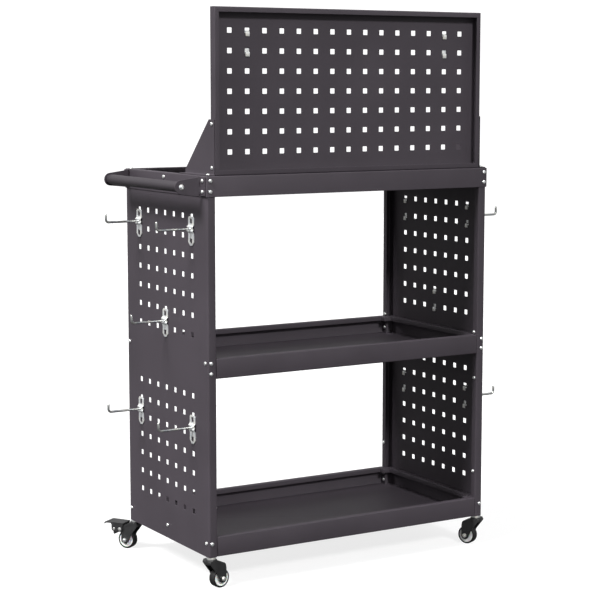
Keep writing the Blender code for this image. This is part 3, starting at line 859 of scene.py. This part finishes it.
def hook_meshes():
    """Plate with its claws and ribs, and the bent wire, for a panel that faces +X with its face at x = 0."""
    half, face, thick, back = 11.0, 0.3, 1.5, -1.5
    front = face + thick
    outline = [(-half, -3.5), (-half + 3.5, 0), (half - 3.5, 0), (half, -3.5)]
    outline += [(half, -49), (4, -56), (-4, -56), (-half, -49)]
    crests = ((0.0, -15.8), (3.1, -20.2), (1.5, -24.2), (3.1, -28.2), (0.0, -32.6))
    wave = []
    for (x0, z0), (x1, z1) in zip(crests, crests[1:]):
        for step in range(6):
            share = step / 6
            ease = share * share * (3 - 2 * share)
            wave.append((x0 + (x1 - x0) * ease, z0 + (z1 - z0) * share))
    wave.append(crests[-1])
    section = [(face, 2)] + [(face + rise, z) for rise, z in wave] + [(face, -60)]
    section += [(front, -60)] + [(front + rise, z) for rise, z in reversed(wave)] + [(front, 2)]
    steps = [("INTERSECT", prism(section, "y", -half - 1, half + 1))]
    slots = [slab((face - 2, -5.0, hole - 13.8), (front + 2, 5.0, hole - 3.9)) for hole in (0, -PITCH)]
    steps.append(("DIFFERENCE", gathered(*slots)))
    for hole in (0, -PITCH):
        claw = [(front - 0.4, hole - 3.6), (front - 0.4, hole - 1.8)]
        claw += arc((back, hole - 3.6), 1.8, 90, 180, 4)
        claw += [(back - 1.8, hole - 10), (back - 1.4, hole - 11), (back - 0.4, hole - 11), (back, hole - 10)]
        claw += [(back, hole - 4.4), (back + 0.8, hole - 3.6)]
        steps.append(("UNION", prism(claw, "y", -4.2, 4.2)))
    plate = combined("hook_plate", prism(outline, "x", -1, 8), steps, ZINC, 40)
    return plate, hook_wire(front + 1.3)


def hook_wire(front):
    """Round wire with a welded foot, a smooth bend and a rounded tip."""
    radius, reach, base = 2.4, 74.6, -24.2
    bend = 6.0
    weld = ((-0.3, 1.3), (0.4, 0.9), (1.1, 0.25), (2.0, 0.0))
    spots = [(front + out, base, radius + more) for out, more in weld]
    spots += [(reach - bend, base, radius)]
    spots += [(x, z, radius) for x, z in arc((reach - bend, base + bend), bend, -90, 0, 8)[1:]]
    tip = -7.2
    spots += [(reach, tip - below, radius * share) for below, share in ((2.4, 1.0), (1.2, 0.87), (0.4, 0.55))]
    shell = Shell()
    rings = []
    count = 20
    for i, (x, z, size) in enumerate(spots):
        before = spots[max(i - 1, 0)]
        after = spots[min(i + 1, len(spots) - 1)]
        along = Vector((after[0] - before[0], 0, after[1] - before[1])).normalized()
        across = Vector((-along.z, 0, along.x))
        ring = []
        for k in range(count):
            turn = 2 * math.pi * k / count
            offset = across * size * math.cos(turn) + Vector((0, size * math.sin(turn), 0))
            ring.append(Vector((x, 0, z)) + offset)
        rings.append(shell.ring(ring))
    for first, second in zip(rings, rings[1:]):
        shell.bridge(first, second)
    shell.cap(rings[0])
    shell.fan(rings[-1], shell.point((reach, 0, tip)))
    return as_mesh("hook_wire", shell, WIRE_ZINC_PAINTED_SHADE, 50)


def add_hooks():
    """Five hooks on each side panel and two on the board, each hung from the hole it is placed at."""
    plate, wire = hook_meshes()
    spots = (
        (UPPER_ROWS_TOP, -3), (UPPER_ROWS_TOP, 3), (UPPER_ROWS_TOP - 5 * PITCH, 0),
        (LOWER_ROWS_TOP - PITCH, -3), (LOWER_ROWS_TOP - PITCH, 3),
    )
    places = []
    for word, side in (("left", -1), ("right", 1)):
        for index, (height, column) in enumerate(spots, 1):
            turn = 0.0 if side > 0 else math.pi
            places.append((f"hook_{word}_{index}", (side * HALF_WIDTH, column * PITCH, height), turn))
    for index, column in enumerate((-6, 6), 1):
        places.append((f"hook_board_{index}", (column * PITCH, BOARD_BACK, BOARD_ROWS_TOP), math.pi / 2))
    for name, place, turn in places:
        matrix = Matrix.Translation(ORIGIN + Vector(place) * MM) @ Matrix.Rotation(turn, 4, "Z")
        place_piece(name + "_plate", plate, "cart", name, matrix, bevel=0.25)
        place_piece(name + "_wire", wire, "cart", matrix=matrix)


# ---- Casters: drawn with the stem on the z axis and the wheel trailing along +X ----


def cheek_outline(braked):
    """Side view of the housing. The braked one has an eye for the pedal's pin."""
    tip = arc((TRAIL, WHEEL_RADIUS), 8.5, 0, -150, 10)
    front = [(5.0, 31.0), (-11.0, 52.0), (-11.0, 54.6), (-8.5, HOUSING_TOP), (2.5, HOUSING_TOP)]
    if braked:
        back = [(23.5, 50.0)] + arc(BRAKE_PIN, 6.0, 70, -60, 8) + [(27.3, 33.0)]
    else:
        back = [(23.5, 50.0), (26.0, 47.0), (27.3, 40.0)]
    return front + back + tip


def panel_recess(braked):
    """Shallow panel sunk in the outside of each cheek."""
    outline = [(7.5, 32.0), (-6.5, 50.5), (-5.0, 53.6), (2.0, 53.6)]
    if braked:
        outline += [(19.0, 47.2), (20.5, 41.0), (23.0, 33.0), (22.5, 29.5), (14.5, 29.5)]
    else:
        outline += [(20.5, 46.8), (23.5, 43.0), (24.0, 29.5), (14.5, 29.5)]
    return outline


def fork_mesh(name, braked):
    """Housing: two cheeks under a round head, bored for the stem, the axle and the pedal's pin."""
    body = prism(cheek_outline(braked), "y", -HOUSING_HALF, HOUSING_HALF)
    hollow = [(-30, -10), (-30, 40.0), (-9.6, 46.0), (-7.6, 53.5), (-5.6, 55.6), (5.8, 55.6), (21, 47.0)]
    if braked:
        hollow += [(26.5, 46), (26.5, 70), (60, 70), (60, -10)]
    else:
        hollow += [(60, 47.0), (60, -10)]
    head = [(0, 48.5), (10.9, 48.5), (11.4, 49.5), (11.4, 57.2), (11.0, 58.0)]
    head += [(9.8, HOUSING_TOP), (0, HOUSING_TOP)]
    steps = [("UNION", turned(head, 48))]
    steps.append(("DIFFERENCE", prism(hollow, "y", -HOUSING_INSIDE, HOUSING_INSIDE)))
    for near, far in ((-16.0, -12.45), (12.45, 16.0)):
        steps.append(("DIFFERENCE", prism(panel_recess(braked), "y", near, far)))
    steps.append(("DIFFERENCE", bore(3.4, 50, 70, 32)))
    axle_hole = bore(2.8, -30, 30, 24, "y")
    steps.append(("DIFFERENCE", moved(axle_hole, (TRAIL, 0, WHEEL_RADIUS))))
    if braked:
        steps.append(("DIFFERENCE", pin_hole()))
    return combined(name, body, steps, NYLON, 30)


def pin_hole():
    return moved(bore(2.4, -30, 30, 20, "y"), (BRAKE_PIN[0], 0, BRAKE_PIN[1]))


def tyre_mesh():
    """Tyre with round shoulders and a fine mould line round its middle."""
    inner, outer, half = 15.6, WHEEL_RADIUS, 8.0
    shoulder = arc((outer - 2.0, half - 2.0), 2.0, 90, 0, 6)
    right = [(outer, 0.12), (outer, 0.25)] + shoulder[::-1] + [(inner, half)]
    return as_mesh("tyre", turned(both_sides(right), 96, "y"), TYRE, 40)


def hub_mesh():
    """Wheel centre: a rim, a dished web and a boss on each side."""
    right = [
        (15.3, 7.55), (15.1, 7.75), (13.0, 7.75), (12.6, 7.6), (12.3, 7.2), (11.8, 6.9), (6.2, 6.9),
        (5.7, 7.4), (5.5, 9.8), (5.2, 10.1), (2.8, 10.1),
    ]
    return as_mesh("hub", turned(both_sides(right), 96, "y"), HUB, 32)


def axle_mesh():
    """Bolt with a domed hexagon head at -Y and a domed nut at +Y."""
    face = HOUSING_HALF + 0.3
    head = [
        (0, -face - 4.0), (2.2, -face - 4.0), (3.6, -face - 3.4), (4.4, -face - 2.6),
        (4.7, -face - 1.9), (4.7, -face - 0.1), (4.5, -face), (2.5, -face),
    ]
    nut = [
        (2.5, face), (4.5, face), (4.7, face + 0.1), (4.7, face + 2.3), (4.2, face + 2.9), (2.9, face + 3.2),
        (2.6, face + 3.0), (2.5, face + 3.0), (2.5, face + 3.9), (2.2, face + 4.2), (0, face + 4.2),
    ]
    hexagons = {ring: 6 for ring in (4, 5, 6, 9, 10, 11)}
    return as_mesh("axle", turned(head + nut, 48, "y", hexagons), FASTENER_PAINTED_LIGHT, 32)


def stem_mesh():
    """King pin, bearing collar and stem."""
    low, top, foot = 52.4, HOUSING_TOP, COLLAR_TOP
    profile = [
        (0, low), (4.4, low), (5.0, low + 0.5), (5.0, low + 2.4), (4.8, low + 2.7), (3.0, low + 2.7),
        (3.0, top + 0.3), (8.9, top + 0.3), (9.3, top + 0.7), (9.3, foot - 0.3), (9.0, foot), (4.0, foot),
        (4.0, 85), (0, 85),
    ]
    return as_mesh("stem", turned(profile, 48), FASTENER_PAINTED_LIGHT, 32)


def pedal_mesh():
    """Brake pedal whose side plates straddle the fork, with grip ribs and a shoe that faces the tyre."""
    near, far = 13.3, 15.3
    top = [
        (22, 52.5), (22, 54.6), (22.6, 55.2), (63.0, 55.4), (65.0, 54.7), (70.6, 50.4), (70.8, 49.6),
        (70.0, 48.4), (63.6, 52.2), (56, 52.6),
    ]
    cheek = [
        (23, 54), (23.5, 43), (24.4, 39.0), (27, 36.2), (43, 35.5), (48.5, 37.5), (49.8, 41.0), (50, 50),
        (53, 54),
    ]
    steps = []
    for low, high in ((-far, -near), (near, far)):
        steps.append(("UNION", prism(cheek, "y", low, high)))
    shoe = [(40.5, 54), (40.5, 38), (43.2, 30), (45.6, 30.4), (46.5, 38), (46.5, 54)]
    steps.append(("UNION", prism(shoe, "y", -near - 0.5, near + 0.5)))
    corner = [(63.5, 30), (63.5, far + 0.1), (65.5, 14.2), (72.5, 9.4), (78, 30)]
    for side in (-1, 1):
        steps.append(("DIFFERENCE", prism([(x, side * y) for x, y in corner], "z", 40, 70)))
    grooves = []
    for index in range(5):
        x = 59.0 + 2.2 * index
        z = 55.36 - 0.75 * max(x - 64.2, 0)
        grooves.append(slab((x, -9 + index * 0.6, z - 0.6), (x + 0.9, 9 - index * 0.6, z + 3)))
    steps.append(("DIFFERENCE", gathered(*grooves)))
    steps.append(("DIFFERENCE", pin_hole()))
    return combined("pedal", prism(top, "y", -far, far), steps, NYLON, 30)


def rivet_mesh():
    """Rivet with a low domed head at each end."""
    face = 15.6
    head = ((2.0, 0), (3.4, 0), (3.6, 0.2), (3.3, 0.8), (2.2, 1.15), (0, 1.2))
    right = [(r, face + h) for r, h in head]
    return as_mesh("rivet", turned(both_sides(right), 32, "y"), FASTENER_PAINTED_LIGHT, 35)


def stub_rivet_mesh():
    """Second rivet, through the pedal's side plates and the shoe."""
    face = 15.3
    right = [(2.6, face - 0.3), (2.6, face + 0.1), (2.2, face + 0.6), (0, face + 0.8)]
    return as_mesh("stub_rivet", turned(both_sides(right), 32, "y"), FASTENER_PAINTED_LIGHT, 35)


def socket_mesh():
    """Nut block in the foot of a post, bored for the stem."""
    low, high, near, far, cut = 63.0, 93.0, 7.0, 5.4, 1.5
    outline = [
        (-near, -near + cut), (-near + cut, -near), (near - cut, -near), (near, -near + cut),
        (near, far - cut), (near - cut, far), (-near + cut, far), (-near, far - cut),
    ]
    hole = bore(4.3, low - 5, high + 5, 32)
    return combined("socket", prism(outline, "z", low, high), [("DIFFERENCE", hole)], FASTENER_PAINTED_LIGHT, 30)


def add_casters():
    """Places each caster at its swivel joint, turned as its wheel joint's axis says."""
    socket, stem, axle = socket_mesh(), stem_mesh(), axle_mesh()
    fork, brake_fork = fork_mesh("fork", False), fork_mesh("brake_fork", True)
    tyre, hub = tyre_mesh(), hub_mesh()
    pedal, rivet, stub = pedal_mesh(), rivet_mesh(), stub_rivet_mesh()
    joints = {joint["name"]: joint for joint in frame["joints"]}
    for corner in ("fl", "fr", "rl", "rr"):
        pivot = Vector(joints[f"swivel_{corner}"]["pos_m"])
        axis = joints[f"wheel_spin_{corner}"]["axis"]
        upright = Matrix.Translation((pivot.x, pivot.y, 0))
        swivel = upright @ Matrix.Rotation(math.atan2(-axis[0], axis[1]), 4, "Z")
        seat = upright @ Matrix.Rotation(math.pi if corner[0] == "r" else 0.0, 4, "Z")
        at_axle = swivel @ Matrix.Translation((TRAIL * MM, 0, WHEEL_RADIUS * MM))
        body, wheel, lever = f"caster_{corner}", f"wheel_{corner}", f"pedal_{corner}"
        braked = f"brake_{corner}" in joints
        housing = baked(brake_fork if braked else fork, swivel)
        place_piece(f"socket_{corner}", baked(socket, seat), "cart", f"caster_socket_{corner}", bevel=0.3)
        place_piece(f"stem_{corner}", baked(stem, upright), "cart", f"caster_stem_{corner}")
        place_piece(f"housing_{corner}", housing, body, f"caster_fork_{corner}", bevel=0.55)
        place_piece(f"axle_{corner}", baked(axle, at_axle), body, f"caster_axle_{corner}")
        place_piece(f"tyre_{corner}", baked(tyre, at_axle), wheel, f"caster_tyre_{corner}")
        place_piece(f"hub_{corner}", baked(hub, at_axle), wheel, f"caster_hub_{corner}")
        if braked:
            pin = swivel @ Matrix.Translation((BRAKE_PIN[0] * MM, 0, BRAKE_PIN[1] * MM))
            second = swivel @ Matrix.Translation((SECOND_RIVET[0] * MM, 0, SECOND_RIVET[1] * MM))
            place_piece(lever, baked(pedal, swivel), lever, f"brake_pedal_{corner}", bevel=0.4)
            place_piece(f"rivet_{corner}", baked(rivet, pin), body, f"brake_pin_{corner}")
            place_piece(f"stub_rivet_{corner}", baked(stub, second), lever)


# ---- Stage ----


def stage_piece(name, shell, albedo, glow):
    """Matt grey piece of the stage, which glows enough to look white but lights nothing."""
    n = Nodes(name)
    tone = n.mix(n.span(n.noise(1.5, 3.0), 0.3, 0.7), (albedo, albedo, albedo), (albedo * 1.03,) * 3)
    n.link(tone, n.shader.inputs["Base Color"])
    n.set(Roughness=0.9, Specular_IOR_Level=0.0, Emission_Color=(1, 1, 1, 1), Emission_Strength=glow)
    obj = in_scene(name, as_mesh(name, shell, n.material))
    obj.visible_diffuse = False
    obj.visible_glossy = False
    obj.visible_transmission = False
    obj.visible_shadow = False


def studio_stage():
    """Pale floor under the cart and a plain white dome round it."""
    floor = slab((-STAGE_REACH, -STAGE_REACH, -20), (STAGE_REACH, STAGE_REACH, 0))
    stage_piece("studio_floor", floor, albedo=0.24, glow=0.80)
    rises = [math.pi / 24 * i for i in range(-3, 13)]
    dome = turned([(DOME_RADIUS * math.cos(t), DOME_RADIUS * math.sin(t)) for t in rises], 64)
    stage_piece("studio_dome", dome, albedo=0.3, glow=1.0)


def sun(name, heading, elevation, spread, power):
    """Soft distant light. Heading 0 shines on the front and 90 on the handle end."""
    light = bpy.data.lights.new(name, "SUN")
    light.energy = power
    light.angle = math.radians(spread)
    obj = in_scene(name, light)
    turn, rise = math.radians(heading), math.radians(elevation)
    towards = Vector((-math.sin(turn) * math.cos(rise), -math.cos(turn) * math.cos(rise), math.sin(rise)))
    obj.rotation_euler = towards.to_track_quat("Z", "Y").to_euler()
    obj.location = towards * 5


def studio_light():
    """Soft sky that is brightest just above the horizon, and two soft suns."""
    world = bpy.data.worlds.new("studio")
    world.use_nodes = True
    tree = world.node_tree
    place = tree.nodes.new("ShaderNodeTexCoord")
    split = tree.nodes.new("ShaderNodeSeparateXYZ")
    ramp = tree.nodes.new("ShaderNodeValToRGB")
    span = tree.nodes.new("ShaderNodeMapRange")
    span.inputs["From Min"].default_value = -1.0
    tree.links.new(place.outputs["Generated"], split.inputs["Vector"])
    tree.links.new(split.outputs["Z"], span.inputs["Value"])
    tree.links.new(span.outputs["Result"], ramp.inputs["Fac"])
    tree.links.new(ramp.outputs["Color"], tree.nodes["Background"].inputs["Color"])
    # From straight down at 0 to straight up at 1, each with its brightness.
    heights = ((0.0, 0.10), (0.45, 0.22), (0.56, 0.62), (1.0, 0.40))
    elements = ramp.color_ramp.elements
    while len(elements) < len(heights):
        elements.new(0.5)
    for element, (height, value) in zip(elements, heights):
        element.position = height
        element.color = (value, value, value, 1)
    tree.nodes["Background"].inputs["Strength"].default_value = 1.0
    bpy.context.scene.world = world
    sun("front_light", heading=4, elevation=34.5, spread=9, power=2.4)
    sun("end_light", heading=88, elevation=50, spread=22, power=6.0)


def add_camera():
    """Camera at the reference view, level across the picture and turned slightly down."""
    pitch, yaw = 7.181, -30.884
    data = bpy.data.cameras.new("camera")
    data.sensor_width = 36.0
    data.lens = 103.59
    data.clip_end = 60.0
    camera = in_scene("camera", data)
    camera.location = (-1.8332, -3.0637, 0.97047)
    camera.rotation_euler = (math.radians(90 - pitch), 0, math.radians(yaw))
    bpy.context.scene.camera = camera


def main():
    """Builds every piece of the cart, then the stage, the lights and the camera."""
    bpy.context.scene.view_settings.view_transform = "Standard"
    for side, word in ((-1, "left"), (1, "right")):
        cart_piece(f"panel_{word}", side_panel(side), COAT, f"side_panel_{word}")
        cart_piece(f"brace_{word}", gusset(side), COAT, f"gusset_{word}", bevel=0.3)
    for end, word in ((-1, "front"), (1, "rear")):
        cart_piece(f"ear_{word}", handle_ear(end), COAT, f"handle_ear_{word}", bevel=0.4)
        cart_piece(f"bolt_{word}", cap_bolt(end), FASTENER_PAINTED_LIGHT, f"handle_bolt_{word}")
    cart_piece("bar", handle_bar(), HANDLE_COAT_PAINTED_SHADE, "handle_bar")
    cart_piece("board", pegboard(), COAT, "pegboard")
    cart_piece("top_tray", tray(top_tray_corners(), TOP_RIM, 2.2, TOP_TRAY_FLOOR), COAT, "tray_top")
    cart_piece("middle_tray", tray(inner_tray_corners(), MIDDLE_RIM, 0.8), COAT, "tray_middle")
    cart_piece("bottom_tray", tray(inner_tray_corners(), BOTTOM_RIM, 0.8), COAT, "tray_bottom")
    screw = screw_mesh()
    for index, (place, normal) in enumerate(screw_places(), 1):
        add_fastener(f"screw_{index:02d}", screw, place, normal, 37 * index % 90)
    add_hooks()
    add_casters()
    studio_stage()
    studio_light()
    add_camera()


main()
